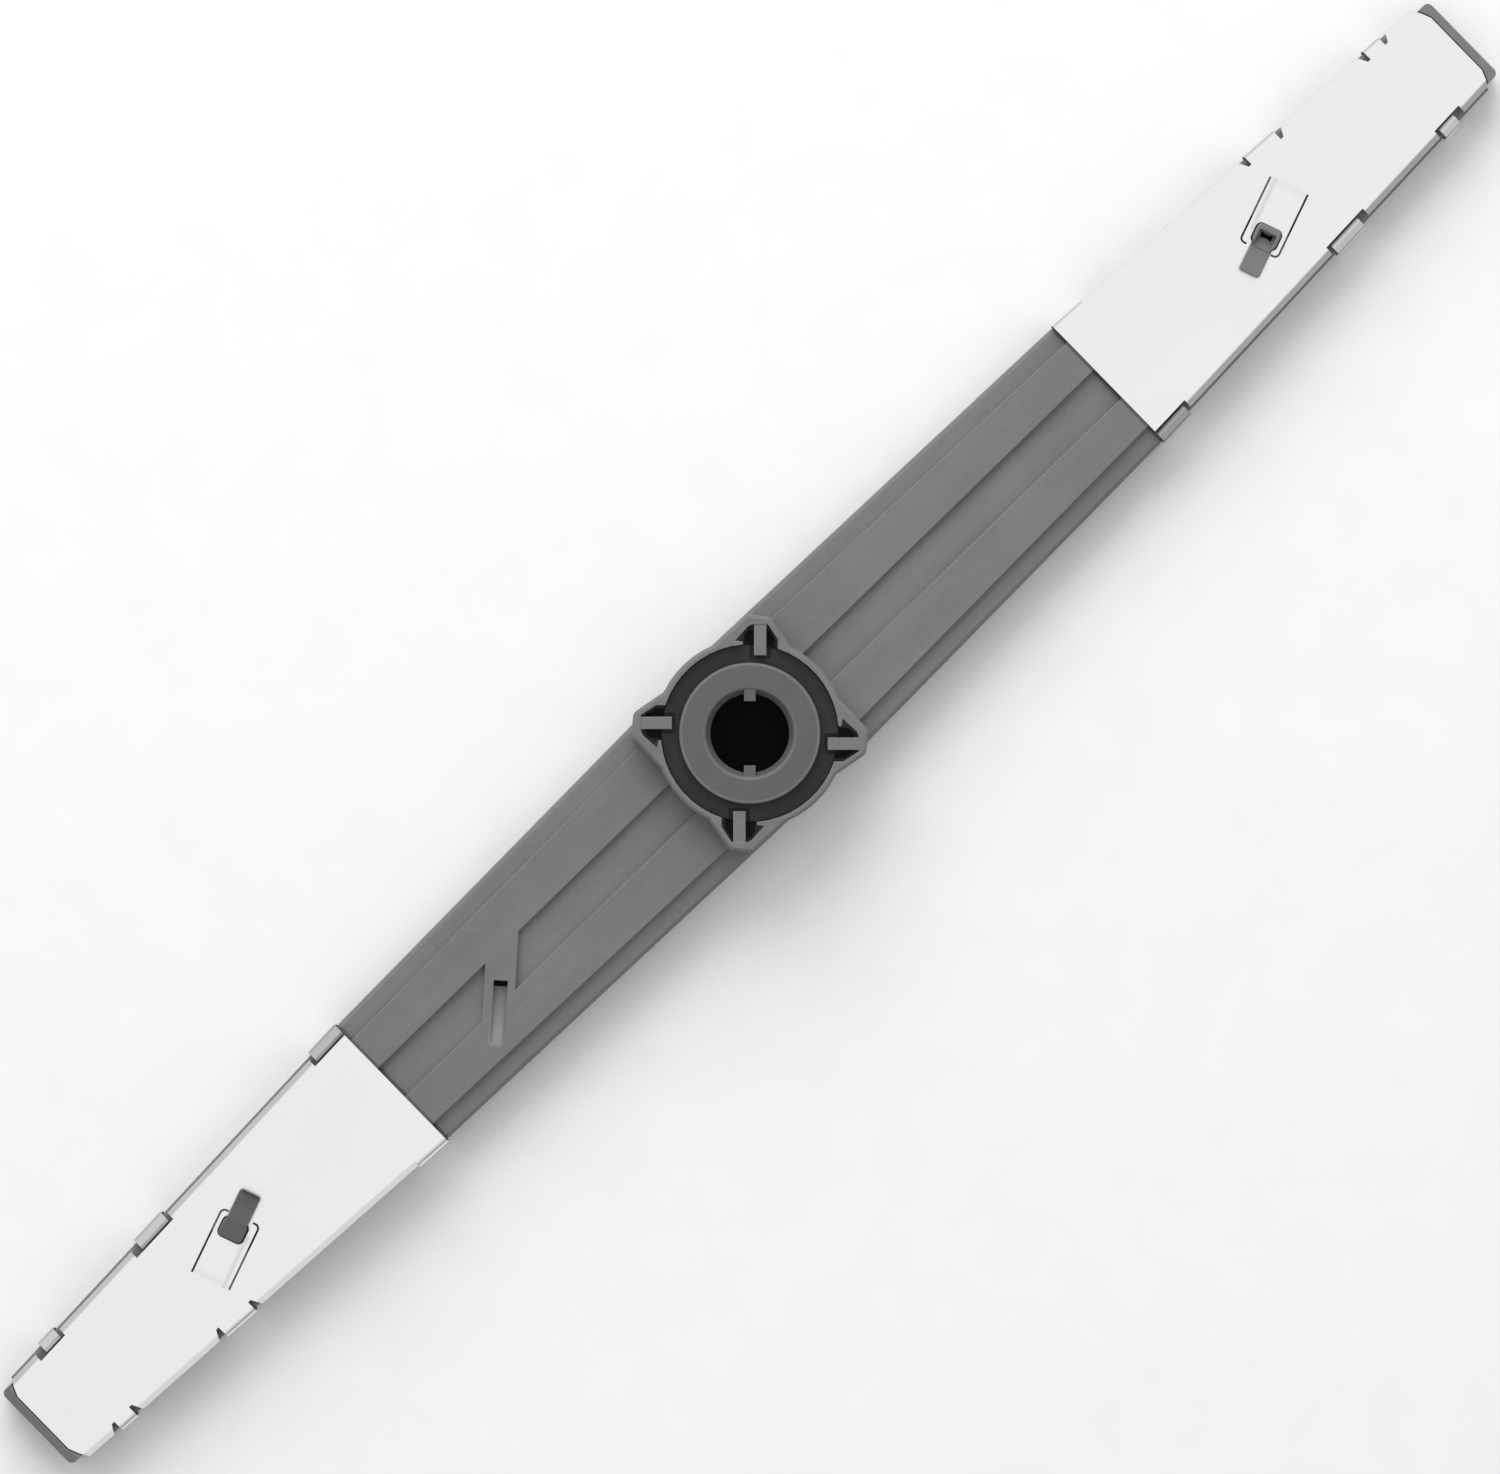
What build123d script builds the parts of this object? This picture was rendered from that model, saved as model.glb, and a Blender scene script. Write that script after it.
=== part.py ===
from build123d import *
from math import cos, hypot, radians, sin, tan
import os

os.makedirs("parts", exist_ok=True)

# Frame: origin on the hub axis, in the plane that the spray nozzles rest on.
# +X runs along the arm, +Z from the spray face up to the underside and its hub.
# All sizes are in millimetres.

# Arm, seen from above
arm_length = 520.0
hub_half_width = 23.3
sleeve_half_width = 20.4
tip_shoulder_half_width = 14.35
tip_half_width = 13.15
tip_length = 4.5
tip_corner_radius = 1.6
tip_drop = 1.2
tip_overlap = 1.5

# Heights and walls of the two mouldings
nozzle_height = 2.4
spray_face_bevel = 1.5
seam_height = 8.0
rib_top_at_hub = 18.4
rib_top_at_tip = 12.4
wall = 2.0
side_band_width = 5.3
side_band_step = 1.8
edge_bevel_width = 0.8
edge_bevel_top = 2.2
edge_drop = 3.0
trough_half_width = 5.2
trough_depth = 2.0
channel_side_drop = 2.1
channel_end_wall = 8.0
weld_rib_height = 1.2
weld_rib_thickness = 1.2
weld_rib_gap = 0.1
weld_rib_end_gap = 57.0

# Z-shaped bridge across the trough, with its slot jet
bridge_angle = 42.7
outer_trough_end = 91.2
inner_trough_end = 79.2
slot_angle = 222.5
slot_centre = (-91.4, -0.8)
slot_width = 3.7
slot_length = 16.1
slot_mouth_length = 1.5
slot_ramp_depth = 2.6
slot_end_depth = 0.6
slot_boss_width = 8.0
slot_boss_length = 14.0
slot_boss_drop = 2.4

# Drive nozzle, and the closed one of the same outline at the other end
nozzle_from_end = 73.2
nozzle_offset = -1.35
nozzle_angle = 20.0
nozzle_boss_width = 6.75
nozzle_boss_length = 5.1
nozzle_boss_rise = 3.4
nozzle_root = 0.5
nozzle_boss_radius = 1.2
nozzle_tab_width = 5.8
nozzle_tab_reach = 10.8
nozzle_tab_rise = 2.6
open_tab_fall = 1.0
closed_tab_fall = 0.2
nozzle_tab_gap = 0.1
nozzle_tab_radius = 0.7
open_slope_length = 1.2
closed_slope_length = 4.0
nozzle_edge_bevel = 0.4
nozzle_rim = 0.95
nozzle_end_rim = 1.55
orifice_length = 1.7
orifice_width = 3.3
orifice_waist = 0.35
ramp_floor_rise = 0.9
ramp_start = 5.2

# Hub housing
latch_angle = 45.7
housing_radius = 24.8
housing_top = 26.0
housing_bottom = 12.0
housing_bevel = 0.7
housing_corner_radius = 2.0
corner_rounding_from = 4.0
housing_wall = 1.7
flange_ledge = 1.6
cup_floor_top = 17.2
cup_floor_thickness = 2.5
corner_outline = [(-4.8, -12.37), (5.4, -5.35), (6.1, 0.75), (-3.3, 10.87)]
pocket_outline = [
    (-4.1, 1.85),
    (0.7, 1.85),
    (1.0, 3.8),
    (4.7, 0.45),
    (5.2, -0.75),
    (5.2, -4.65),
    (4.3, -5.3),
    (1.2, -7.35),
    (-4.1, -7.15),
]
finger_width = 3.2
finger_offset = -2.7
finger_reach = 2.85
finger_root = 5.7
finger_drop = 0.2

# Hub bearing
bore_radius = 10.25
bore_mouth_width = 1.6
bore_mouth_depth = 2.4
bore_mouth_edge_radius = 0.8
flange_step = 2.6
collar_top = 27.2
collar_edge_radius = 0.6
flange_gap = 0.5
flange_thickness = 3.0
axial_clearance = 0.1
running_clearance = 0.08
spigot_wall = 2.15
spigot_bottom = 13.0
key_width = 3.0
key_tip_radius = 8.35
key_root_radius = 12.0
key_top_drop = 0.6
key_height = 4.0

# Bearing retainer
retainer_top = 23.5
retainer_gap = 0.15
ear_top = 22.5
ear_outline = [(-3.1, 1.3), (2.5, 1.3), (3.7, 0.4), (3.9, -4.7), (1.5, -6.4), (-3.1, -6.5)]
recess_reach = 3.6
recess_side_gap = 1.0
finger_seat_gap = 0.05

# Stainless sleeve, drawn at the +X end
sheet = 0.5
sleeve_length = 127.0
sleeve_end_gap = 2.5
sleeve_corner = [(0.0, 9.5), (1.1, 12.2), (2.5, 14.6)]
lip_gap = 0.3
lip_rise = 0.6
lip_fall = 1.1
crease_inset = 2.3
crease_edge_inset = 0.95
crease_drop = 0.95
far_bend_inset = 1.2
far_edge_overhang = 0.3
far_edge_drop = 0.4
spray_plate_inset = 0.2
strap_places = [(0.0, 10.0), (66.7, 76.8), (108.1, 113.5)]
strap_stand_off = 0.5
strap_bend_radius = 1.3
strap_overlap = 6.5
hook_crease_inset = 1.4
hook_end_inset = 2.45
hook_end_drop = 0.55
hook_drop = 0.5
hook_bend_drop = 0.5
hook_bend_radius = 0.5
edge_bend_radius = 0.4
hook_window_inset = 2.9
hook_window_margins = [(1.0, 1.2), (1.2, 2.6), (1.2, 2.6)]
relief_length = 2.6
relief_depths = [(2.3, 2.5), (2.4, 2.1)]
relief_floor_share = 0.35
relief_far_overhang = 0.8

# Tongue that the sleeve locks on the nozzle with
tongue_near_side = -5.0
tongue_far_side = 5.8
tongue_root = 14.5
tongue_tip = -3.9
tongue_slot = 0.5
tongue_hook_radius = 1.2
tongue_hook_reach = 1.9
nozzle_clearance = 0.35

# Spray nozzles on the hidden spray face: share of the arm's half length, place across, turn of the slot
spray_nozzles = [
    (0.177, 8.0, 20.0),
    (0.331, -8.5, -35.0),
    (0.454, 7.5, 50.0),
    (0.638, -7.0, -20.0),
    (0.823, 6.0, 35.0),
    (0.946, -4.5, 0.0),
    (-0.254, 8.5, -25.0),
    (-0.408, -8.0, 30.0),
    (-0.569, 7.5, -45.0),
    (-0.731, -6.5, 20.0),
    (-0.900, 5.0, -10.0),
]
spray_boss_radius = 4.0
spray_slot_length = 5.0
spray_slot_width = 1.8
spray_hole_clearance = 0.4

# How far a cut or a root runs past the face where it ends
cut_margin = 1.0

# Values worked out from the sizes above
nozzle_root_depth = trough_depth + nozzle_root
half_length = arm_length / 2
shoulder = half_length - tip_length
sleeve_end = half_length - sleeve_end_gap
sleeve_start = sleeve_end - sleeve_length
strap_spans = [(sleeve_start + near, sleeve_start + far) for near, far in strap_places]
nozzle_place = (half_length - nozzle_from_end, nozzle_offset)
rib_slope = (rib_top_at_hub - rib_top_at_tip) / half_length
channel_end = half_length - channel_end_wall
channel_floor = nozzle_height + wall
weld_rib_reach = channel_end - weld_rib_end_gap
channel_stations = [-channel_end, -sleeve_start, 0.0, sleeve_start, channel_end]
shell_stations = [-shoulder, -sleeve_start, 0.0, sleeve_start, shoulder]
weld_rib_stations = [-weld_rib_reach, -sleeve_start, 0.0, sleeve_start, weld_rib_reach]
cup_radius = housing_radius - housing_wall
flange_pocket_radius = cup_radius - flange_ledge
flange_radius = flange_pocket_radius - flange_gap
collar_radius = flange_radius - flange_step
flange_bottom = cup_floor_top + axial_clearance
flange_top = flange_bottom + flange_thickness
retainer_bottom = flange_top + axial_clearance
spigot_radius = bore_radius + spigot_wall
finger_bottom = ear_top + finger_seat_gap
finger_length = finger_reach + finger_root
bridge_lean = 2 * trough_half_width / tan(radians(bridge_angle))
right_trough = [
    (0.0, trough_half_width),
    (shoulder, trough_half_width),
    (shoulder, -trough_half_width),
    (0.0, -trough_half_width),
]
left_inner_trough = [
    (0.0, trough_half_width),
    (-inner_trough_end, trough_half_width),
    (-inner_trough_end - bridge_lean, -trough_half_width),
    (0.0, -trough_half_width),
]
left_outer_trough = [
    (-outer_trough_end, trough_half_width),
    (-shoulder, trough_half_width),
    (-shoulder, -trough_half_width),
    (-outer_trough_end - bridge_lean, -trough_half_width),
]


def half_width(x):
    """Half the arm's width at a place along it."""
    x = abs(x)
    if x <= sleeve_start:
        return hub_half_width + (sleeve_half_width - hub_half_width) * x / sleeve_start
    share = (x - sleeve_start) / (shoulder - sleeve_start)
    return sleeve_half_width + (tip_shoulder_half_width - sleeve_half_width) * share


def rib_top(x):
    """Height of the flat ribs on the underside."""
    return rib_top_at_hub - rib_slope * abs(x)


def cross_plane(x):
    """Plane square to the arm, with its own x along Y and its own y up."""
    return Plane(origin=(x, 0, 0), x_dir=(0, 1, 0), z_dir=(1, 0, 0))


def loft_outlines(stations, outline):
    """Straight-sided solid through one closed outline per station."""
    with BuildPart() as body:
        for x in stations:
            with BuildSketch(cross_plane(x)):
                with BuildLine():
                    Polyline(*outline(x), close=True)
                make_face()
        loft(ruled=True)
    return body.part


def mirrored(points):
    """Outline from one side's points, ordered from the edge to the middle."""
    return points + [(-y, z) for y, z in reversed(points)]


def lower_outline(x):
    w = half_width(x)
    top = rib_top(x)
    return mirrored(
        [
            (w, seam_height),
            (w, top - edge_drop),
            (w - edge_bevel_width, top - edge_bevel_top),
            (w - side_band_width, top - side_band_step),
            (w - side_band_width, top),
        ]
    )


def lower_channel_outline(x):
    w = half_width(x)
    top = rib_top(x)
    return mirrored(
        [
            (w - wall, seam_height - cut_margin),
            (w - wall, top - channel_side_drop - wall),
            (w - side_band_width, top - trough_depth - wall),
        ]
    )


def upper_outline(x):
    w = half_width(x)
    return mirrored(
        [
            (w, seam_height),
            (w, nozzle_height + spray_face_bevel),
            (w - spray_face_bevel, nozzle_height),
        ]
    )


def upper_channel_outline(x):
    w = half_width(x)
    return mirrored([(w - wall, seam_height + cut_margin), (w - wall, channel_floor)])


def weld_rib_outer(x):
    """Rib on the inner edge of the seam, rooted in the wall below it."""
    root = half_width(x) - wall / 2
    edge = half_width(x) - wall - weld_rib_gap
    top = seam_height + weld_rib_height
    return mirrored(
        [
            (root, seam_height - weld_rib_height),
            (root, seam_height),
            (edge, seam_height),
            (edge, top),
        ]
    )


def weld_rib_inner(x):
    edge = half_width(x) - wall - weld_rib_gap - weld_rib_thickness
    over = 2 * weld_rib_height
    return mirrored([(edge, seam_height - over), (edge, seam_height + over)])


def tip_block(side, bottom, top):
    """Square end of a shell, narrower than the shoulder, with rounded corners."""
    length = tip_length + tip_overlap
    centre = side * (half_length - length / 2)
    with BuildPart() as block:
        with BuildSketch(Plane.XY.offset(bottom)):
            with Locations((centre, 0)):
                Rectangle(length, 2 * tip_half_width)
        extrude(amount=top - bottom)
        outer = block.edges().filter_by(Axis.Z).sort_by(Axis.X)
        fillet(outer[-2:] if side > 0 else outer[:2], radius=tip_corner_radius)
    return block.part


def sleeve_plan(gap=0.0):
    """Plan of the sleeve with its cut corners at the tip, grown there by a gap."""
    far_side = hub_half_width + cut_margin
    corner = [(sleeve_end - back + gap, y + gap / 2) for back, y in sleeve_corner]
    one_side = [(sleeve_start, far_side), (corner[-1][0], far_side)] + corner[::-1]
    return one_side + [(x, -y) for x, y in reversed(one_side)]


def tip_lip(side):
    """Raised rim at the tip that stands round the sleeve's end."""
    base = rib_top_at_tip - 2 * tip_drop
    block = tip_block(side, base, rib_top_at_tip + lip_rise)
    with BuildPart() as lip:
        add(block)
        with BuildSketch(Plane.XY.offset(base)):
            Polygon(*[(side * x, y) for x, y in sleeve_plan(lip_gap)], align=None)
        extrude(amount=arm_length, mode=Mode.SUBTRACT)
        with BuildSketch(Plane.XZ):
            Polygon(
                (side * sleeve_end, rib_top_at_tip + lip_rise),
                (side * half_length, rib_top_at_tip + lip_rise - lip_fall),
                (side * half_length, rib_top_at_hub),
                (side * sleeve_end, rib_top_at_hub),
                align=None,
            )
        extrude(amount=hub_half_width, both=True, mode=Mode.SUBTRACT)
    return lip.part


def rib_plane(side):
    """Plane of the rib tops on one side of the hub."""
    return Plane(
        origin=(0, 0, rib_top_at_hub),
        x_dir=(1, 0, -side * rib_slope),
        z_dir=(side * rib_slope, 0, 1),
    )


def corner_places():
    return PolarLocations(0, 4, start_angle=latch_angle)


def outside(radius, outline):
    """Outline whose first coordinates are counted outwards from a radius."""
    return [(radius + out, across) for out, across in outline]


def hub_housing():
    """Round wall with four corners, standing on the underside."""
    with BuildPart() as housing:
        with BuildSketch(Plane.XY.offset(housing_bottom)) as outline:
            Circle(housing_radius)
            with corner_places():
                Polygon(*outside(housing_radius, corner_outline), align=None)
            tips = [v for v in outline.vertices() if hypot(v.X, v.Y) > housing_radius + corner_rounding_from]
            fillet(tips, radius=housing_corner_radius)
        extrude(amount=housing_top - housing_bottom)
        chamfer(housing.edges().group_by(Axis.Z)[-1], length=housing_bevel)
    return housing.part


def trough_cut(side, outlines):
    """Space of the sunk trough, with its floor parallel to the rib tops."""
    with BuildPart() as troughs:
        with BuildSketch(rib_plane(side)):
            for outline in outlines:
                Polygon(*outline, align=None)
        extrude(amount=-trough_depth)
    return troughs.part


def slot_plane():
    """Upright plane along the slot jet, from its mouth towards its shallow end."""
    turn = radians(slot_angle)
    return Plane(
        origin=(*slot_centre, rib_top(slot_centre[0])),
        x_dir=(cos(turn), sin(turn), 0),
        z_dir=(sin(turn), -cos(turn), 0),
    )


def slot_cut():
    """Deep mouth and the ramp that rises from it to the surface."""
    end_drop = slot_end_depth + rib_slope * slot_length * abs(cos(radians(slot_angle)))
    with BuildPart() as cut:
        with BuildSketch(slot_plane()):
            Polygon(
                (0, cut_margin),
                (0, -2 * slot_boss_drop - trough_depth - wall),
                (slot_mouth_length, -2 * slot_boss_drop - trough_depth - wall),
                (slot_mouth_length, -slot_ramp_depth),
                (slot_length, -end_drop),
                (slot_length, cut_margin),
                align=None,
            )
        extrude(amount=slot_width / 2, both=True)
    return cut.part


def slot_boss():
    """Thicker wall inside the channel, under the ramp."""
    with BuildPart() as boss:
        with BuildSketch(slot_plane()):
            with Locations((slot_boss_length / 2 - wall, -trough_depth - wall - slot_boss_drop / 2)):
                Rectangle(slot_boss_length, slot_boss_drop + cut_margin)
        extrude(amount=slot_boss_width / 2, both=True)
    return boss.part


def nozzle_plane(side, height=0.0):
    """Plane along the ribs at an end nozzle, its x along the nozzle and away from the hub."""
    turn = radians(nozzle_angle)
    x, y = nozzle_place
    return Plane(
        origin=(side * x, side * y, rib_top(x) + height),
        x_dir=(side * cos(turn), side * sin(turn), -rib_slope * cos(turn)),
        z_dir=(side * rib_slope, 0, 1),
    )


def nozzle_section_plane(side):
    """Upright plane through the nozzle's own axis."""
    turn = radians(nozzle_angle)
    x, y = nozzle_place
    return Plane(
        origin=(side * x, side * y, rib_top(x)),
        x_dir=(side * cos(turn), side * sin(turn), -rib_slope * cos(turn)),
        z_dir=(side * sin(turn), -side * cos(turn), 0),
    )


def nozzle_body(side):
    """Boss through the sheet, with the tab that holds the sheet down and rises to its tip."""
    slope_length = open_slope_length if side > 0 else closed_slope_length
    slope_foot = nozzle_boss_length / 2 + slope_length
    tab_low = nozzle_tab_rise - (open_tab_fall if side > 0 else closed_tab_fall)
    with BuildPart() as body:
        with BuildSketch(nozzle_plane(side, -nozzle_root_depth)):
            RectangleRounded(nozzle_boss_length, nozzle_boss_width, nozzle_boss_radius)
        extrude(amount=nozzle_boss_rise + nozzle_root_depth)
        chamfer(body.faces().sort_by(Axis.Z)[-1].edges(), length=nozzle_edge_bevel)
        with BuildSketch(nozzle_plane(side, sheet + nozzle_tab_gap)):
            with Locations((-nozzle_tab_reach / 2, 0)):
                RectangleRounded(nozzle_tab_reach, nozzle_tab_width, nozzle_tab_radius)
        extrude(amount=nozzle_boss_rise - sheet - nozzle_tab_gap)
        with BuildSketch(nozzle_section_plane(side)):
            Polygon(
                (-nozzle_tab_reach, nozzle_tab_rise),
                (-slope_foot, tab_low),
                (-nozzle_boss_length / 2, nozzle_boss_rise),
                (-nozzle_boss_length / 2, nozzle_boss_rise + cut_margin),
                (-nozzle_tab_reach, nozzle_boss_rise + cut_margin),
                align=None,
            )
        extrude(amount=nozzle_boss_width, both=True, mode=Mode.SUBTRACT)
    return body.part


def ramp_cut(side):
    """Ramp that leads the jet from the orifice along the tab."""
    with BuildPart() as cut:
        with BuildSketch(nozzle_section_plane(side)):
            Polygon(
                (-ramp_start, nozzle_tab_rise),
                (-orifice_length / 2, ramp_floor_rise),
                (nozzle_boss_length / 2 - nozzle_end_rim, ramp_floor_rise),
                (nozzle_boss_length / 2 - nozzle_end_rim, nozzle_boss_rise + cut_margin),
                (-ramp_start, nozzle_boss_rise + cut_margin),
                align=None,
            )
        extrude(amount=nozzle_boss_width / 2 - nozzle_rim, both=True)
    return cut.part


def orifice_cut(side):
    """Waisted hole from the ramp into the channel."""
    x = orifice_length / 2
    y = orifice_width / 2
    waist = x - orifice_waist
    with BuildPart() as cut:
        with BuildSketch(nozzle_plane(side, ramp_floor_rise + cut_margin)):
            Polygon((-x, -y), (-waist, 0), (-x, y), (x, y), (waist, 0), (x, -y), align=None)
        extrude(amount=-(ramp_floor_rise + cut_margin + trough_depth + 2 * wall))
    return cut.part


# Underside moulding
outer_body = loft_outlines(shell_stations, lower_outline)
channel = loft_outlines(channel_stations, lower_channel_outline)
ends = [tip_block(side, seam_height, rib_top_at_tip - tip_drop) for side in (-1, 1)]
lips = [tip_lip(side) for side in (-1, 1)]
housing = hub_housing()
right_cut = trough_cut(1, [right_trough])
left_cut = trough_cut(-1, [left_inner_trough, left_outer_trough])
jet_boss = slot_boss()
jet_cut = slot_cut()
end_nozzles = [nozzle_body(side) for side in (-1, 1)]
open_ramp = ramp_cut(1)
open_orifice = orifice_cut(1)

with BuildPart() as lower_shell:
    add(outer_body)
    add(ends)
    add(lips)
    add(right_cut, mode=Mode.SUBTRACT)
    add(left_cut, mode=Mode.SUBTRACT)
    add(housing)
    add(channel, mode=Mode.SUBTRACT)
    with BuildSketch(Plane.XY.offset(cup_floor_top - cup_floor_thickness)):
        Circle(housing_radius)
    extrude(amount=cup_floor_thickness)
    with BuildSketch(Plane.XY.offset(cup_floor_top)):
        Circle(flange_pocket_radius)
    extrude(amount=retainer_bottom - cup_floor_top, mode=Mode.SUBTRACT)
    with BuildSketch(Plane.XY.offset(retainer_bottom)):
        Circle(cup_radius)
        with corner_places():
            Polygon(*outside(cup_radius, pocket_outline), align=None)
    extrude(amount=housing_top - retainer_bottom, mode=Mode.SUBTRACT)
    with BuildSketch(Plane.XY.offset(cup_floor_top)):
        Circle(spigot_radius + running_clearance)
    extrude(amount=seam_height - cup_floor_top, mode=Mode.SUBTRACT)
    with BuildSketch(Plane.XY.offset(finger_bottom)):
        with corner_places():
            with Locations((cup_radius - finger_reach + finger_length / 2, finger_offset)):
                Rectangle(finger_length, finger_width)
    extrude(amount=housing_top - finger_drop - finger_bottom)
    add(jet_boss)
    add(jet_cut, mode=Mode.SUBTRACT)
    add(end_nozzles)
    add(open_ramp, mode=Mode.SUBTRACT)
    add(open_orifice, mode=Mode.SUBTRACT)
lower_shell.part.label = "lower_shell"
export_step(lower_shell.part, "parts/lower_shell.step")


# Spray-face moulding, hidden in the usual view
outer_body = loft_outlines(shell_stations, upper_outline)
channel = loft_outlines(channel_stations, upper_channel_outline)
ends = [tip_block(side, nozzle_height, seam_height) for side in (-1, 1)]
weld_rib = loft_outlines(weld_rib_stations, weld_rib_outer)
weld_rib_core = loft_outlines(weld_rib_stations, weld_rib_inner)

with BuildPart() as upper_shell:
    add(outer_body)
    add(ends)
    add(channel, mode=Mode.SUBTRACT)
    add(weld_rib)
    add(weld_rib_core, mode=Mode.SUBTRACT)
    with BuildSketch():
        for share, y, turn in spray_nozzles:
            with Locations((share * half_length, y)):
                Circle(spray_boss_radius)
    extrude(amount=nozzle_height)
    with BuildSketch():
        for share, y, turn in spray_nozzles:
            with Locations(Location((share * half_length, y, 0), (0, 0, turn))):
                SlotOverall(spray_slot_length, spray_slot_width)
    extrude(amount=channel_floor, mode=Mode.SUBTRACT)
upper_shell.part.label = "upper_shell"
export_step(upper_shell.part, "parts/upper_shell.step")


# Collar that plugs on the machine's riser; the arm turns on it
with BuildPart() as hub_bearing:
    with BuildSketch(Plane.XZ):
        Polygon(
            (bore_radius, spigot_bottom),
            (spigot_radius, spigot_bottom),
            (spigot_radius, flange_bottom),
            (flange_radius, flange_bottom),
            (flange_radius, flange_top),
            (collar_radius, flange_top),
            (collar_radius, collar_top),
            (bore_radius + bore_mouth_width, collar_top),
            (bore_radius, collar_top - bore_mouth_depth),
            align=None,
        )
    revolve(axis=Axis.Z)
    face_edges = hub_bearing.edges().group_by(Axis.Z)[-1].sort_by(SortBy.RADIUS)
    fillet(face_edges[0], radius=bore_mouth_edge_radius)
    face_edges = hub_bearing.edges().filter_by(GeomType.CIRCLE).group_by(Axis.Z)[-1].sort_by(SortBy.RADIUS)
    fillet(face_edges[-1], radius=collar_edge_radius)
    with BuildSketch(Plane.XY.offset(collar_top - key_top_drop)):
        with PolarLocations(0, 2, start_angle=latch_angle):
            with Locations(((key_tip_radius + key_root_radius) / 2, 0)):
                Rectangle(key_root_radius - key_tip_radius, key_width)
    extrude(amount=-key_height)
hub_bearing.part.label = "hub_bearing"
export_step(hub_bearing.part, "parts/hub_bearing.step")


# Ring that traps the bearing's flange, with an ear in each corner pocket
with BuildPart() as bearing_retainer:
    with BuildSketch(Plane.XY.offset(retainer_bottom)):
        Circle(cup_radius - retainer_gap)
    extrude(amount=retainer_top - retainer_bottom)
    with BuildSketch(Plane.XY.offset(retainer_bottom)):
        with corner_places():
            Polygon(*outside(cup_radius, ear_outline), align=None)
    extrude(amount=ear_top - retainer_bottom)
    with BuildSketch(Plane.XY.offset(ear_top)):
        with corner_places():
            with Locations((cup_radius - recess_reach / 2, finger_offset)):
                Rectangle(recess_reach, finger_width + 2 * recess_side_gap)
    extrude(amount=retainer_top - ear_top, mode=Mode.SUBTRACT)
    with BuildSketch(Plane.XY.offset(retainer_bottom)):
        Circle(collar_radius + running_clearance)
    extrude(amount=retainer_top - retainer_bottom, mode=Mode.SUBTRACT)
bearing_retainer.part.label = "bearing_retainer"
export_step(bearing_retainer.part, "parts/bearing_retainer.step")


def folded_sheet(stations, path, radius):
    """Sheet of even thickness on the outer side of one path per station."""
    with BuildPart() as body:
        for x in stations:
            with BuildSketch(cross_plane(x)):
                with BuildLine():
                    if radius:
                        FilletPolyline(*path(x), radius=radius)
                    else:
                        Polyline(*path(x))
                    offset(amount=sheet, side=Side.LEFT)
                make_face()
        loft(ruled=True)
    return body.part


def under_plate_path(x):
    w = half_width(x)
    top = rib_top(x)
    return [
        (crease_edge_inset - w, top - crease_drop),
        (crease_inset - w, top),
        (w - far_bend_inset, top),
        (w + far_edge_overhang, top - far_edge_drop),
    ]


def spray_plate_path(x):
    edge = half_width(x) - spray_plate_inset
    return [(edge, nozzle_height), (-edge, nozzle_height)]


def strap_path(x):
    w = half_width(x)
    return [
        (w - strap_overlap, rib_top(x)),
        (w + strap_stand_off, rib_top(x)),
        (w + strap_stand_off, nozzle_height),
        (w - strap_overlap, nozzle_height),
    ]


def hook_path(x):
    w = half_width(x)
    crease = rib_top(x) - hook_drop
    return [
        (strap_overlap - w, nozzle_height),
        (-w - strap_stand_off, nozzle_height),
        (-w - strap_stand_off, crease - hook_bend_drop),
        (hook_crease_inset - w, crease),
        (hook_end_inset - w, crease - hook_end_drop),
    ]


def strap_gap(span):
    """Piece of the turned-down edge that a strap takes the place of."""
    return [
        (span[0], half_width(span[0]) - strap_overlap / 2),
        (span[1], half_width(span[1]) - strap_overlap / 2),
        (span[1], hub_half_width),
        (span[0], hub_half_width),
    ]


def relief_outline(near, far, depth):
    """Notch beside a strap, deepest next to it."""
    floor = half_width(near) - depth
    shallow = near + (far - near) * relief_floor_share
    edge = half_width(far) + relief_far_overhang
    return [(near, floor), (shallow, floor), (far, edge), (far, hub_half_width), (near, hub_half_width)]


def hook_window(span, margins):
    """Cut-out of the underside plate round a closing hook."""
    start = span[0] - margins[0]
    end = span[1] + margins[1]
    return [
        (start, hook_window_inset - half_width(start)),
        (end, hook_window_inset - half_width(end)),
        (end, -hub_half_width),
        (start, -hub_half_width),
    ]


def tongue_slot_path(across, inward):
    """Middle line of a slot beside the nozzle, curled towards it at its tip."""
    return [
        (tongue_root, across),
        (tongue_tip, across),
        (tongue_tip, across + inward * tongue_hook_reach),
    ]


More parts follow.
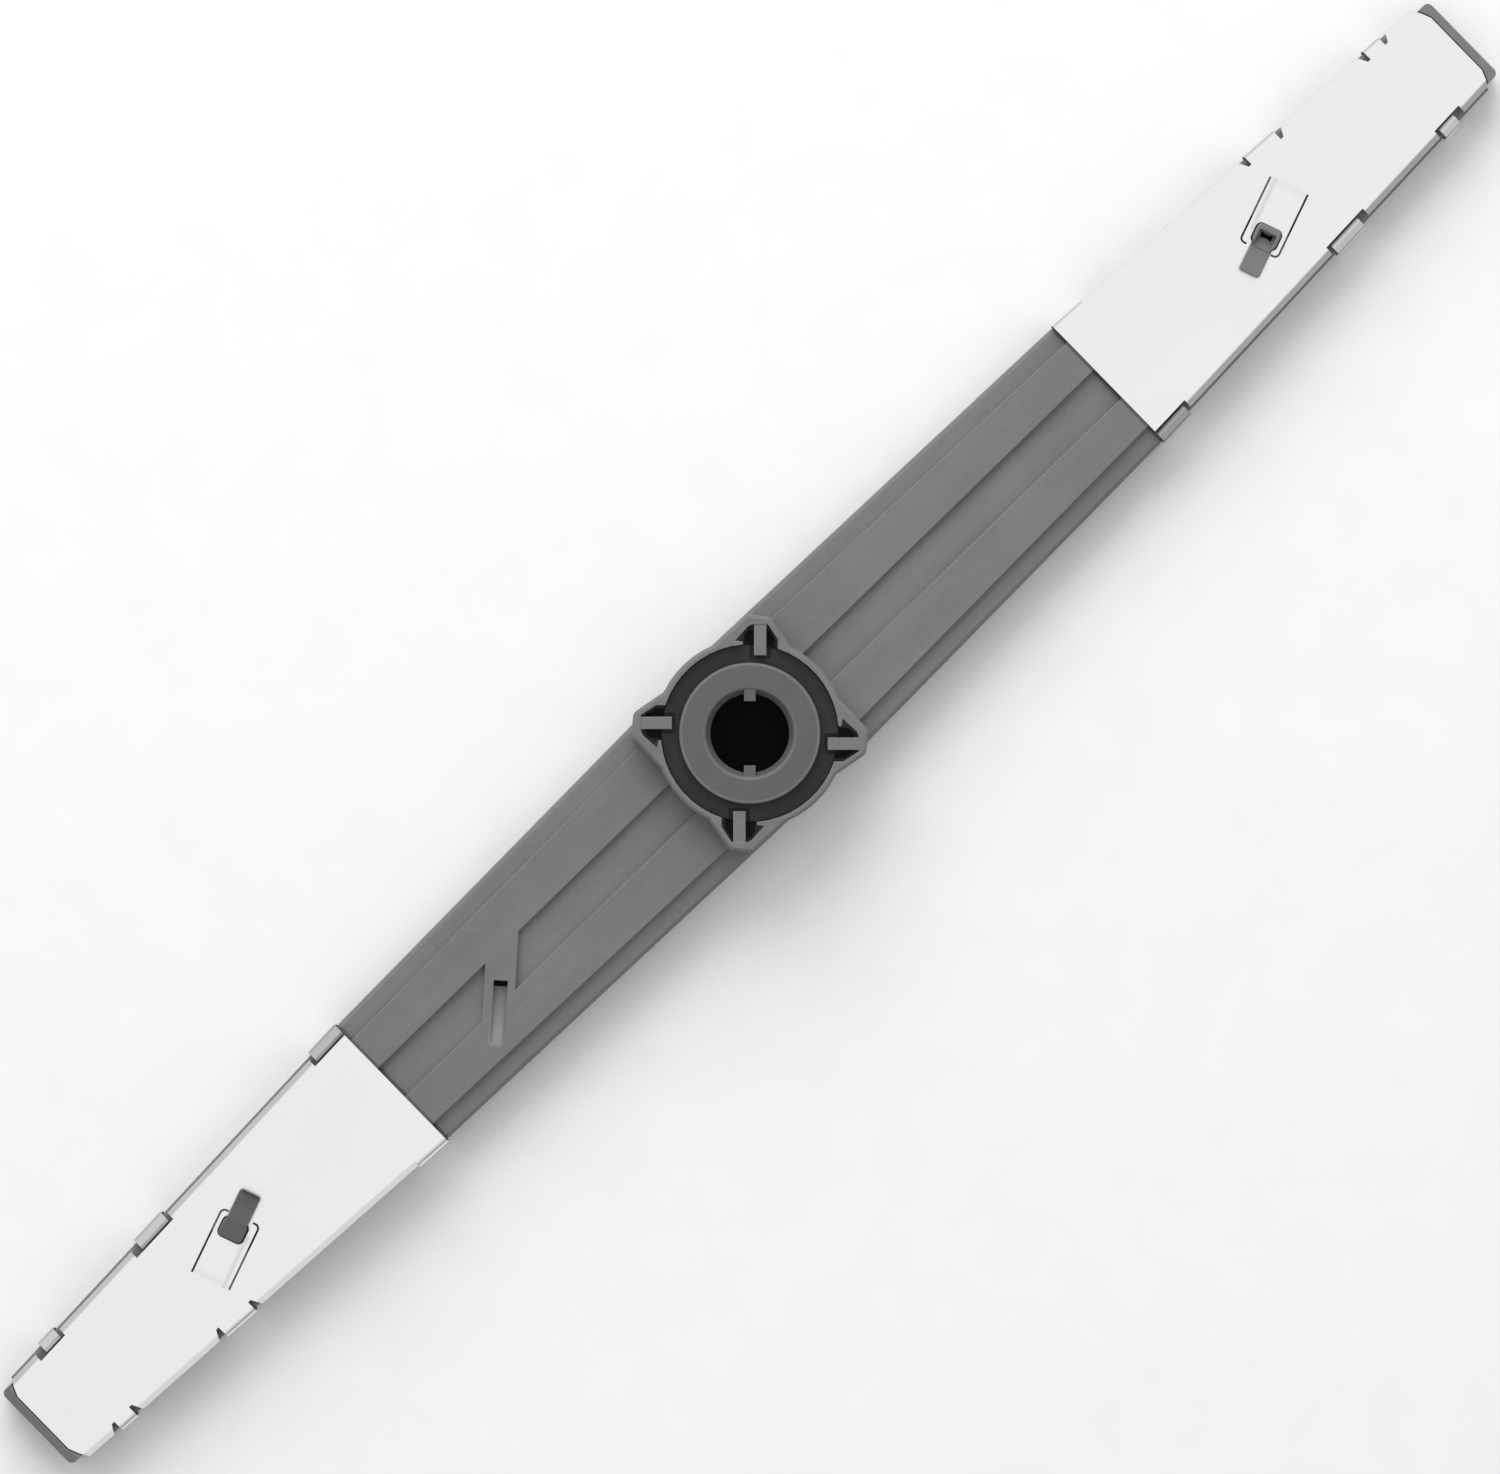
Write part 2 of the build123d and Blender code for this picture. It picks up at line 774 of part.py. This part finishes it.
def folded_sleeve(side):
    """One bent sheet: two plates, three straps on one edge, three closing hooks on the other."""
    under_plate = folded_sheet([sleeve_start, sleeve_end], under_plate_path, edge_bend_radius)
    spray_plate = folded_sheet([sleeve_start, sleeve_end], spray_plate_path, 0)
    straps = [folded_sheet(span, strap_path, strap_bend_radius) for span in strap_spans]
    hooks = [folded_sheet(span, hook_path, hook_bend_radius) for span in strap_spans]
    with BuildPart() as body:
        add(under_plate)
        with BuildSketch(Plane.XY.offset(seam_height)):
            for span in strap_spans:
                Polygon(*strap_gap(span), align=None)
            for span, depths in zip(strap_spans[1:], relief_depths):
                Polygon(*relief_outline(span[0], span[0] - relief_length, depths[0]), align=None)
                Polygon(*relief_outline(span[1], span[1] + relief_length, depths[1]), align=None)
            for span, margins in zip(strap_spans, hook_window_margins):
                Polygon(*hook_window(span, margins), align=None)
        extrude(amount=rib_top_at_hub, mode=Mode.SUBTRACT)
        with BuildSketch(nozzle_plane(1, -2 * sheet)):
            RectangleRounded(
                nozzle_boss_length + 2 * nozzle_clearance,
                nozzle_boss_width + 2 * nozzle_clearance,
                nozzle_boss_radius + nozzle_clearance,
            )
            for across, inward in ((tongue_near_side, 1), (tongue_far_side, -1)):
                with BuildLine():
                    FilletPolyline(*tongue_slot_path(across, inward), radius=tongue_hook_radius)
                trace(line_width=tongue_slot)
        extrude(amount=4 * sheet, mode=Mode.SUBTRACT)
        add(spray_plate)
        with BuildSketch():
            for share, y, turn in spray_nozzles:
                x = share * half_length
                if side * x > sleeve_start:
                    with Locations((side * x, side * y)):
                        Circle(spray_boss_radius + spray_hole_clearance)
        extrude(amount=seam_height, mode=Mode.SUBTRACT)
        add(straps)
        add(hooks)
        with BuildSketch():
            Polygon(*sleeve_plan(), align=None)
        extrude(amount=rib_top_at_hub + 2 * sheet, mode=Mode.INTERSECT)
    return body.part


# Folded stainless sleeves
right_fold = folded_sleeve(1)
left_fold = folded_sleeve(-1)

with BuildPart() as right_sleeve:
    add(right_fold)
right_sleeve.part.label = "right_sleeve"
export_step(right_sleeve.part, "parts/right_sleeve.step")

with BuildPart() as left_sleeve:
    add(left_fold, rotation=(0, 0, 180))
left_sleeve.part.label = "left_sleeve"
export_step(left_sleeve.part, "parts/left_sleeve.step")
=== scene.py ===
import bpy
from math import cos, pi, radians, sin
from mathutils import Matrix, Vector


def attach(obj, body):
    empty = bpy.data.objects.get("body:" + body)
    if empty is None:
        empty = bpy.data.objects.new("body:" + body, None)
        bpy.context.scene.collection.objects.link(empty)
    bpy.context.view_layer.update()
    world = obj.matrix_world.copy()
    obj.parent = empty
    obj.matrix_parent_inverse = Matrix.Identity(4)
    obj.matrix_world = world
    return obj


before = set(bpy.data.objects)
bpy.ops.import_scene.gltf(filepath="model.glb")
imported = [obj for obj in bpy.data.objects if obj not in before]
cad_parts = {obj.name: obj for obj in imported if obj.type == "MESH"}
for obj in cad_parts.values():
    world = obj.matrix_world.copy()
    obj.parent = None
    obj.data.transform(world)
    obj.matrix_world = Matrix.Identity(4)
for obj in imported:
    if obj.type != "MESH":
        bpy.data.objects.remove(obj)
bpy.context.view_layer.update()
MM = 0.001

# Sizes and places that the finish and the trim share with the part, in millimetres
HUB_HALF_WIDTH = 23.3
SLEEVE_HALF_WIDTH = 20.4
SLEEVE_START = 130.5
SEAM_HEIGHT = 8.0
NOZZLE_PLACE = (186.8, -1.35)
NOZZLE_TURN = radians(20.0)
NOZZLE_TAB_REACH = 10.8
TONGUE_ROOT = 14.5
TONGUE_SIDES = (-5.0, 5.8)
SLOT_START = (-91.5, -1.2)
SLOT_TURN = radians(40.4)
SLOT_LENGTH = 16.2
SLOT_SIDES = (-1.4, 0.9)
RAMP_FOOT = 2.0
RAMP_RISE = 11.0
UPPER_SIDE = 9.0
OUTSIDE = 40.0
COLLAR_EDGE = 17.9
BORE_MOUTH = 11.7
BORE_WALL = 10.4
EARS_START = 23.1
CHANNEL = (4.0, 9.0)
CHANNEL_AT_HUB = (22.0, 19.0)

# Painted shade on the tops of the hooks on the sheet's crease side, standing in for the darker surround
# that their sloping tops reflect:
# their start and end along the arm, inner edge and height, and their tone on the right sleeve (1) and
# on the left one (-1)
HOOK_PAINTED_SHADES = (
    (130.0, 140.8, 17.5, 13.5, {1: 0.45, -1: 0.62}),
    (197.0, 207.6, 14.6, 12.0, {1: 0.72, -1: 0.72}),
    (238.4, 244.3, 13.2, 11.0, {1: 0.75, -1: 0.75}),
)

# Darker patch on the closed nozzle: half its length and width, its shift across and the nozzle's base
NOZZLE_PATCH = (8.5, 6.5)
NOZZLE_PATCH_SHIFT = 1.5
NOZZLE_PATCH_REACH = 1.35
NOZZLE_BASE = 14.8

# Tones of the finishes, as shares of the light that they give back
ARM_TONE = 0.168
COLLAR_TONE = 0.100
RING_TONE = 0.021
# Painted highlight on every rounded plastic edge: how much lighter it is, and its share
EDGE_HIGHLIGHT_LIFT = 1.9
EDGE_HIGHLIGHT_SHARE = 0.5
PLASTIC_TINT = 0.016
SHEET_TINT = 0.003
SHEET_TONES = (0.89, 0.94)
# Painted shade along the tongue's bend lines in the sheet
BEND_SHADE_TONE = 0.74
# Painted shade on the crease-side hook tops, before each sleeve's share
HOOK_SHADE_TONE = 0.9
PAPER_TONES = (0.90, 0.92)

# Flash bead that the weld pushes out along the seam of the two mouldings
BEAD_RADIUS = 0.42
BEAD_SINK = 0.16
BEAD_END_GAP = 0.6
BEAD_SIZES = {"Bead radius": BEAD_RADIUS * MM, "Step": 0.9 * MM, "Unevenness": 0.35, "Seed": 7.0}

# The photograph: its frame, scale and the arm's turn in it
PHOTO_WIDTH = 1500
PHOTO_HEIGHT = 1474
PIXEL = 0.26046 * MM
HUB_PIXEL = (749.8, 733.3)
ARM_TURN = radians(44.29)

# Camera, in metres above the floor: its own height and the one at which the scale holds
CAMERA_HEIGHT = 3.0
MEASURED_HEIGHT = 0.017
SENSOR_WIDTH = 36.0

# Light, in metres and watts: its turn is counted from the photograph's upward direction
LIGHT_TURN = radians(12.0)
KEY_SIZE = 1.8
KEY_POWER = 28.0
KEY_HEIGHT = 1.10
KEY_DISTANCE = 1.6
SKY_LEAN = radians(75.0)
SKY_TONES = [(0.3, 0.18), (0.6, 0.36), (0.78, 0.60), (0.88, 0.80), (0.985, 0.95)]
FLOOR_REACH = 6.0


class Value:
    """A number in a shader: using it in a sum or product adds the Math nodes."""

    def __init__(self, finish, socket):
        self.finish = finish
        self.socket = socket

    def maths(self, operation, *others, clamp=False):
        inputs = dict(enumerate((self, *others)))
        node = self.finish.node("ShaderNodeMath", inputs, operation=operation, use_clamp=clamp)
        return Value(self.finish, node.outputs[0])

    def __add__(self, other):
        return self.maths("ADD", other)

    def __sub__(self, other):
        return self.maths("SUBTRACT", other)

    def __mul__(self, other):
        return self.maths("MULTIPLY", other)

    def __rsub__(self, other):
        return (self * -1.0) + other

    def __abs__(self):
        return self.maths("ABSOLUTE")

    def most(self, other):
        return self.maths("MAXIMUM", other)

    def least(self, other):
        return self.maths("MINIMUM", other)

    def between(self, low, high, soft):
        """1 between two limits, falling to 0 over a soft edge outside them."""
        middle = (low + high) / 2
        half = (high - low) / 2
        return (half + soft - abs(self - middle)).maths("DIVIDE", soft, clamp=True)

    def near(self, place, reach):
        """1 at a place, falling to 0 at a reach from it."""
        return (1.0 - abs(self - place) * (1.0 / reach)).maths("MAXIMUM", 0.0)


class NodeTree:
    """A node tree that is built up one node at a time."""

    def __init__(self, tree):
        self.tree = tree

    def node(self, kind, inputs=None, stops=None, **settings):
        made = self.tree.nodes.new(kind)
        for key, setting in settings.items():
            setattr(made, key, setting)
        if stops:
            ramp = made.color_ramp.elements
            while len(ramp) < len(stops):
                ramp.new(0.5)
            for element, (position, tone) in zip(ramp, stops):
                element.position = position
                element.color = (*([tone] * 3), 1.0) if isinstance(tone, float) else (*tone, 1.0)
        for key, value in (inputs or {}).items():
            self.feed(made.inputs[key], value)
        return made

    def feed(self, socket, value):
        source = value.socket if isinstance(value, Value) else value
        if isinstance(source, bpy.types.NodeSocket):
            self.tree.links.new(source, socket)
        else:
            socket.default_value = source

    def axes(self, place):
        """The three parts of a place or direction."""
        parts = self.node("ShaderNodeSeparateXYZ", {0: place})
        return [Value(self, parts.outputs[i]) for i in range(3)]


class Finish(NodeTree):
    """One procedural material on Object coordinates."""

    def __init__(self, name):
        self.material = bpy.data.materials.new(name)
        self.material.use_nodes = True
        super().__init__(self.material.node_tree)
        self.shader = self.tree.nodes["Principled BSDF"]
        self.place = self.node("ShaderNodeTexCoord").outputs["Object"]
        self.x, self.y, self.z = self.axes(self.place)

    def from_hub(self):
        """Distance from the hub's axis."""
        return (self.x * self.x + self.y * self.y).maths("SQRT")

    def stretched(self, stretch, turn=0.0):
        """Object coordinates scaled along each axis, so that noise is drawn out along the arm."""
        mapping = self.node(
            "ShaderNodeMapping", {"Vector": self.place, "Scale": stretch, "Rotation": (0.0, 0.0, turn)}
        )
        return mapping.outputs[0]

    def noise(self, scale, detail=2.0, rough=0.5, stretch=(1.0, 1.0, 1.0), turn=0.0):
        where = self.stretched(stretch, turn) if stretch != (1.0, 1.0, 1.0) or turn else self.place
        inputs = {"Vector": where, "Scale": scale, "Detail": detail, "Roughness": rough}
        return Value(self, self.node("ShaderNodeTexNoise", inputs).outputs["Fac"])

    def blend(self, amount, first, second):
        """Mix of two colours; a colour is a tuple or a link."""
        node = self.node("ShaderNodeMix", {"Factor": amount}, data_type="RGBA")
        for socket, colour in ((node.inputs[6], first), (node.inputs[7], second)):
            self.feed(socket, (*colour, 1.0) if isinstance(colour, tuple) else colour)
        return node.outputs[2]

    def soft_edges(self, radius):
        return self.node("ShaderNodeBevel", {"Radius": radius * MM}, samples=6).outputs[0]

    def edge_mask(self, softened):
        """1 on an edge that the soft normal rounds off, 0 on the flats."""
        flat = self.node("ShaderNodeNewGeometry").outputs["True Normal"]
        turn = self.node("ShaderNodeVectorMath", {0: softened, 1: flat}, operation="DOT_PRODUCT")
        return (1.0 - Value(self, turn.outputs["Value"])).maths("MULTIPLY", 8.0, clamp=True)

    def bump(self, height, distance, normal=None, strength=1.0):
        inputs = {"Height": height, "Distance": distance * MM, "Strength": strength}
        if normal is not None:
            inputs["Normal"] = normal
        return self.node("ShaderNodeBump", inputs).outputs[0]

    def set(self, **values):
        for key, value in values.items():
            self.feed(self.shader.inputs[key.replace("_", " ")], value)


def grey(tone, tint=0.0):
    """Neutral colour, a little blue where the tint is above 0."""
    return (tone * (1.0 - tint), tone, tone * (1.0 + tint))


def moulded_plastic(name, tone, edge_radius, spread=0.10, matt=0.40, shades=None, painted_highlights=None):
    """Filled plastic from the mould: cloudy tone, flow marks along the arm, a fine even grain.

    Shades give a darker mask, mostly painted shade, and its share of the tone; painted highlights give
    a mask of places painted lighter, and every rounded edge gets a painted highlight too.
    """
    plastic = Finish(name)
    cloud = plastic.noise(34.0, 3.0, 0.55)
    flow = plastic.noise(1.0, 3.0, 0.6, stretch=(18.0, 190.0, 190.0))
    grain = plastic.noise(2600.0, 2.0, 0.6)
    speck = plastic.noise(900.0, 1.0, 0.5)
    shade = cloud * 0.45 + flow * 0.35 + speck * 0.2
    low = grey(tone * (1.0 - spread), PLASTIC_TINT)
    high = grey(tone * (1.0 + spread), PLASTIC_TINT)
    ramp = plastic.node("ShaderNodeValToRGB", {0: shade}, stops=[(0.36, low), (0.64, high)])
    colour = ramp.outputs[0]
    rough = grain * 0.10 + cloud * 0.12 + matt
    if shades:
        darker, share = shades(plastic)
        colour = plastic.blend(darker, colour, grey(tone * share))
        rough = rough + darker * 0.5
    softened = plastic.soft_edges(edge_radius)
    edge_highlights = plastic.edge_mask(softened)
    if painted_highlights:
        edge_highlights = edge_highlights.most(painted_highlights(plastic))
    # painted highlight on rounded edges and on the painted-highlight masks
    colour = plastic.blend(edge_highlights * EDGE_HIGHLIGHT_SHARE, colour, grey(tone * EDGE_HIGHLIGHT_LIFT))
    surface = plastic.bump(grain * 0.7 + flow * 0.3, 0.035, softened, 0.5)
    plastic.set(Base_Color=colour, Roughness=rough.least(1.0), Normal=surface, IOR=1.49)
    return plastic


def sleeve_sheet(name, side):
    """Bright rolled stainless sheet: faint rolling lines, clouded gloss, the tongue's bend lines bumped
    in with painted shade along them, and painted shade on the hook tops.
    """
    steel = Finish(name)
    lines = steel.noise(1.0, 2.0, 0.7, stretch=(35.0, 2400.0, 2400.0))
    cloud = steel.noise(22.0, 3.0, 0.6)
    smear = steel.noise(1.0, 3.0, 0.6, stretch=(14.0, 60.0, 60.0), turn=0.5)
    # place along and across the nozzle, in metres
    east = steel.x * side - NOZZLE_PLACE[0] * MM
    north = steel.y * side - NOZZLE_PLACE[1] * MM
    along = east * cos(NOZZLE_TURN) + north * sin(NOZZLE_TURN)
    across = north * cos(NOZZLE_TURN) - east * sin(NOZZLE_TURN)
    upper = steel.z.between(UPPER_SIDE * MM, OUTSIDE * MM, 0.5 * MM)
    in_tongue = across.between(TONGUE_SIDES[0] * MM, TONGUE_SIDES[1] * MM, 0.3 * MM)
    root_bend = along.near((TONGUE_ROOT - 0.6) * MM, 1.3 * MM) * in_tongue
    edge_bend = across.near((TONGUE_SIDES[1] - 1.6) * MM, 0.9 * MM)
    edge_bend = edge_bend * along.between(0.5 * MM, TONGUE_ROOT * MM, 1.0 * MM)
    bend_dents_and_shade = (root_bend * 0.4).most(edge_bend) * upper
    tone = cloud * 0.55 + smear * 0.35 + lines * 0.1
    low, high = (grey(share, SHEET_TINT) for share in SHEET_TONES)
    ramp = steel.node("ShaderNodeValToRGB", {0: tone}, stops=[(0.3, low), (0.7, high)])
    rough = lines * 0.06 + cloud * 0.10 + 0.20
    softened = steel.soft_edges(0.15)
    waves = steel.bump(cloud * 0.6 + smear * 0.4 - bend_dents_and_shade * 0.9, 0.3, softened, 0.3)
    surface = steel.bump(lines, 0.002, waves, 0.12)
    # painted shade along the tongue's bend lines
    colour = steel.blend(bend_dents_and_shade, ramp.outputs[0], grey(BEND_SHADE_TONE))
    # painted shade on the tops of the crease-side hooks
    for start, end, inner, height, shares in HOOK_PAINTED_SHADES:
        hook_shade = (steel.x * side).between(start * MM, end * MM, 0.1 * MM)
        hook_shade = hook_shade * (steel.y * -side).between(inner * MM, OUTSIDE * MM, 0.3 * MM)
        hook_shade = hook_shade * steel.z.between(height * MM, OUTSIDE * MM, 0.6 * MM)
        colour = steel.blend(hook_shade, colour, grey(HOOK_SHADE_TONE * shares[side]))
    steel.set(Base_Color=colour, Metallic=1.0, Roughness=rough, Normal=surface)
    return steel


# Finishes of the six solids
def arm_shade(plastic):
    """The darker closed nozzle, and a painted contact shadow: the thin dark line where the sleeves
    begin.
    """
    east = plastic.x + (NOZZLE_PLACE[0] - NOZZLE_TAB_REACH / 2) * MM
    north = plastic.y + (NOZZLE_PLACE[1] - NOZZLE_PATCH_SHIFT) * MM
    east = east * (1.0 / (NOZZLE_PATCH[0] * MM))
    north = north * (1.0 / (NOZZLE_PATCH[1] * MM))
    around = NOZZLE_PATCH_REACH - (east * east + north * north)
    around = around.maths("MULTIPLY", 4.0, clamp=True)
    nozzle = around * plastic.z.between(NOZZLE_BASE * MM, OUTSIDE * MM, 0.2 * MM)
    # painted contact shadow along the sleeves' inner ends
    line = abs(plastic.x).between((SLEEVE_START - 0.7) * MM, (SLEEVE_START + 0.1) * MM, 0.2 * MM)
    return nozzle.most(line), 0.65


def channel_painted_shade(plastic):
    """Painted shade on the deep inner wall of the channel under the hub."""
    shaded_wall = plastic.z.between(CHANNEL[0] * MM, CHANNEL[1] * MM, 0.3 * MM)
    shaded_wall = shaded_wall * abs(plastic.x).between(0.0, CHANNEL_AT_HUB[0] * MM, 2.0 * MM)
    return shaded_wall * abs(plastic.y).between(0.0, CHANNEL_AT_HUB[1] * MM, 0.5 * MM), 0.05


def bore_painted_shade(plastic):
    """Painted shade in the collar's bore below its tapered mouth."""
    inside = plastic.from_hub().between(0.0, BORE_WALL * MM, 0.2 * MM)
    return inside * plastic.z.between(12.0 * MM, 23.0 * MM, 1.0 * MM), 0.15


def collar_painted_highlights(plastic):
    """Painted highlights on the collar's edges: round its face and round the mouth of its bore."""
    across = plastic.from_hub()
    # painted highlight rings, lighter than the collar's tone
    outer = across.near(COLLAR_EDGE * MM, 0.5 * MM) * 1.5
    mouth = across.near(BORE_MOUTH * MM, 0.6 * MM) * 1.7
    return outer.most(mouth) * plastic.z.between(25.5 * MM, 28.0 * MM, 0.3 * MM)


def slot_ramp_painted_light(plastic):
    """Painted light on the slot jet's ramp, paler towards its shallow end where it faces the light."""
    west = SLOT_START[0] * MM - plastic.x
    south = SLOT_START[1] * MM - plastic.y
    along = west * cos(SLOT_TURN) + south * sin(SLOT_TURN)
    across = south * cos(SLOT_TURN) - west * sin(SLOT_TURN)
    ramp_light = (along - RAMP_FOOT * MM).maths("MULTIPLY", 1.0 / (RAMP_RISE * MM), clamp=True)
    ramp_light = ramp_light * along.between(0.0, SLOT_LENGTH * MM, 1.2 * MM)
    ramp_light = ramp_light * across.between(SLOT_SIDES[0] * MM, SLOT_SIDES[1] * MM, 1.0 * MM)
    return ramp_light * plastic.z.between(UPPER_SIDE * MM, OUTSIDE * MM, 0.5 * MM)


def ear_painted_shade(plastic):
    """Painted shade on the ears in the corner pockets, which are also rougher."""
    return plastic.from_hub().between(EARS_START * MM, OUTSIDE * MM, 0.4 * MM), 0.35


arm_plastic = moulded_plastic("Arm_plastic", ARM_TONE, 0.4, shades=arm_shade, painted_highlights=slot_ramp_painted_light)
spray_face_plastic = moulded_plastic("Spray_face_plastic", ARM_TONE, 0.4, shades=channel_painted_shade)
collar_plastic = moulded_plastic(
    "Collar_plastic", COLLAR_TONE, 0.3, spread=0.05, matt=0.28, shades=bore_painted_shade, painted_highlights=collar_painted_highlights
)
ring_plastic = moulded_plastic(
    "Ring_plastic", RING_TONE, 0.2, spread=0.25, matt=0.5, shades=ear_painted_shade
)
right_steel = sleeve_sheet("Sleeve_sheet_right", 1)
left_steel = sleeve_sheet("Sleeve_sheet_left", -1)


def dress(node, finish):
    """A new finish on a solid from the frame, whose mesh stays as it is."""
    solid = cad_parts[node]
    solid.data.materials.clear()
    solid.data.materials.append(finish.material)


dress("lower_shell", arm_plastic)
dress("upper_shell", spray_face_plastic)
dress("hub_bearing", collar_plastic)
dress("bearing_retainer", ring_plastic)
dress("right_sleeve", right_steel)
dress("left_sleeve", left_steel)


def bead_tree(finish):
    """Geometry Nodes: a round bead of uneven thickness along the lines that it is given."""
    group = bpy.data.node_groups.new("Weld_bead", "GeometryNodeTree")
    group.interface.new_socket("Lines", in_out="INPUT", socket_type="NodeSocketGeometry")
    for name in BEAD_SIZES:
        group.interface.new_socket(name, in_out="INPUT", socket_type="NodeSocketFloat")
    group.interface.new_socket("Bead", in_out="OUTPUT", socket_type="NodeSocketGeometry")
    tree = NodeTree(group)
    given = tree.node("NodeGroupInput").outputs
    line = tree.node("GeometryNodeMeshToCurve", {"Mesh": given["Lines"]}).outputs[0]
    spaced = {"Curve": line, "Length": given["Step"]}
    line = tree.node("GeometryNodeResampleCurve", spaced, mode="LENGTH").outputs[0]
    lumps = {"W": given["Seed"], "Scale": 260.0, "Detail": 2.0}
    lump = Value(tree, tree.node("ShaderNodeTexNoise", lumps, noise_dimensions="4D").outputs[0])
    swell = (lump - 0.5) * 2.0 * Value(tree, given["Unevenness"]) + 1.0
    line = tree.node("GeometryNodeSetCurveRadius", {"Curve": line, "Radius": swell}).outputs[0]
    ring = {"Resolution": 10, "Radius": given["Bead radius"]}
    ring = tree.node("GeometryNodeCurvePrimitiveCircle", ring, mode="RADIUS").outputs[0]
    shape = {"Curve": line, "Profile Curve": ring, "Fill Caps": True}
    bead = tree.node("GeometryNodeCurveToMesh", shape).outputs[0]
    bead = tree.node("GeometryNodeSetShadeSmooth", {0: bead}).outputs[0]
    bead = tree.node("GeometryNodeRealizeInstances", {0: bead}).outputs[0]
    bead = tree.node("GeometryNodeSetMaterial", {0: bead, "Material": finish.material}).outputs[0]
    tree.node("NodeGroupOutput", {"Bead": bead})
    return group


def weld_flash():
    """The bead on both side walls, from sleeve to sleeve."""
    reach = SLEEVE_START - BEAD_END_GAP
    corners = []
    for side in (-1, 1):
        for x, half in ((-reach, SLEEVE_HALF_WIDTH), (0.0, HUB_HALF_WIDTH), (reach, SLEEVE_HALF_WIDTH)):
            corners.append(Vector((x, side * (half - BEAD_SINK), SEAM_HEIGHT)) * MM)
    lines = bpy.data.meshes.new("Weld_flash")
    lines.from_pydata(corners, [(0, 1), (1, 2), (3, 4), (4, 5)], [])
    bead = bpy.data.objects.new("Weld_flash", lines)
    bpy.context.scene.collection.objects.link(bead)
    grow = bead.modifiers.new("Bead", "NODES")
    grow.node_group = bead_tree(arm_plastic)
    for socket in grow.node_group.interface.items_tree:
        if socket.name in BEAD_SIZES:
            grow[socket.identifier] = BEAD_SIZES[socket.name]
    grown = bead.evaluated_get(bpy.context.evaluated_depsgraph_get())
    solid = bpy.data.meshes.new_from_object(grown)
    bead.modifiers.clear()
    bead.data = solid
    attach(bead, "arm")


# Floor and light
def soft_light(name, size, power, height, turn, away):
    """Round light that looks at the hub and draws no highlights."""
    lamp = bpy.data.lights.new(name, "AREA")
    lamp.shape = "DISK"
    lamp.size = size
    lamp.energy = power
    heading = pi / 2 - ARM_TURN + turn
    place = Vector((away * cos(heading), away * sin(heading), height))
    fixture = bpy.data.objects.new(name, lamp)
    fixture.location = place
    fixture.rotation_euler = (-place).to_track_quat("-Z", "Y").to_euler()
    fixture.visible_glossy = False
    bpy.context.scene.collection.objects.link(fixture)


def studio():
    """Pale floor, an even white surround and one soft light from the photograph's top."""
    sheet = bpy.data.meshes.new("Floor")
    sides = ((-1, -1), (1, -1), (1, 1), (-1, 1))
    corners = [(x * FLOOR_REACH, y * FLOOR_REACH, 0) for x, y in sides]
    sheet.from_pydata(corners, [], [(0, 1, 2, 3)])
    floor = bpy.data.objects.new("Floor", sheet)
    bpy.context.scene.collection.objects.link(floor)
    paper = Finish("Floor_paper")
    fibre = paper.noise(60.0, 2.0, 0.5)
    stops = [(0.3, PAPER_TONES[0]), (0.7, PAPER_TONES[1])]
    ramp = paper.node("ShaderNodeValToRGB", {0: fibre}, stops=stops)
    paper.set(Base_Color=ramp.outputs[0], Roughness=0.9)
    sheet.materials.append(paper.material)
    surround()
    soft_light("Key_light", KEY_SIZE, KEY_POWER, KEY_HEIGHT, LIGHT_TURN, KEY_DISTANCE)


def surround():
    """Soft white room: brightest overhead and towards the photograph's top, darker behind."""
    world = bpy.data.worlds.new("Surround")
    world.use_nodes = True
    room = NodeTree(world.node_tree)
    x, y, z = room.axes(room.node("ShaderNodeTexCoord").outputs["Generated"])
    heading = pi / 2 - ARM_TURN + LIGHT_TURN
    level = cos(SKY_LEAN)
    facing = x * (cos(heading) * level) + y * (sin(heading) * level) + z * sin(SKY_LEAN)
    ramp = room.node("ShaderNodeValToRGB", {0: facing * 0.5 + 0.5}, stops=SKY_TONES)
    background = world.node_tree.nodes["Background"]
    room.feed(background.inputs["Color"], ramp.outputs[0])
    room.feed(background.inputs["Strength"], 1.0)
    bpy.context.scene.world = world


def photo_camera():
    """Camera straight above the arm with a long lens, framed as the photograph is."""
    optics = bpy.data.cameras.new("Photo_camera")
    optics.sensor_width = SENSOR_WIDTH
    optics.lens = SENSOR_WIDTH * (CAMERA_HEIGHT - MEASURED_HEIGHT) / (PHOTO_WIDTH * PIXEL)
    optics.clip_end = 20.0
    camera = bpy.data.objects.new("Photo_camera", optics)
    right = Vector((cos(ARM_TURN), -sin(ARM_TURN), 0.0))
    up = Vector((sin(ARM_TURN), cos(ARM_TURN), 0.0))
    aside = (PHOTO_WIDTH / 2 - HUB_PIXEL[0]) * PIXEL
    above = (HUB_PIXEL[1] - PHOTO_HEIGHT / 2) * PIXEL
    camera.location = right * aside + up * above + Vector((0.0, 0.0, CAMERA_HEIGHT))
    camera.rotation_euler = Matrix((right, up, Vector((0, 0, 1)))).transposed().to_euler()
    bpy.context.scene.collection.objects.link(camera)
    bpy.context.scene.camera = camera


weld_flash()
studio()
photo_camera()
bpy.context.scene.view_settings.view_transform = "Standard"
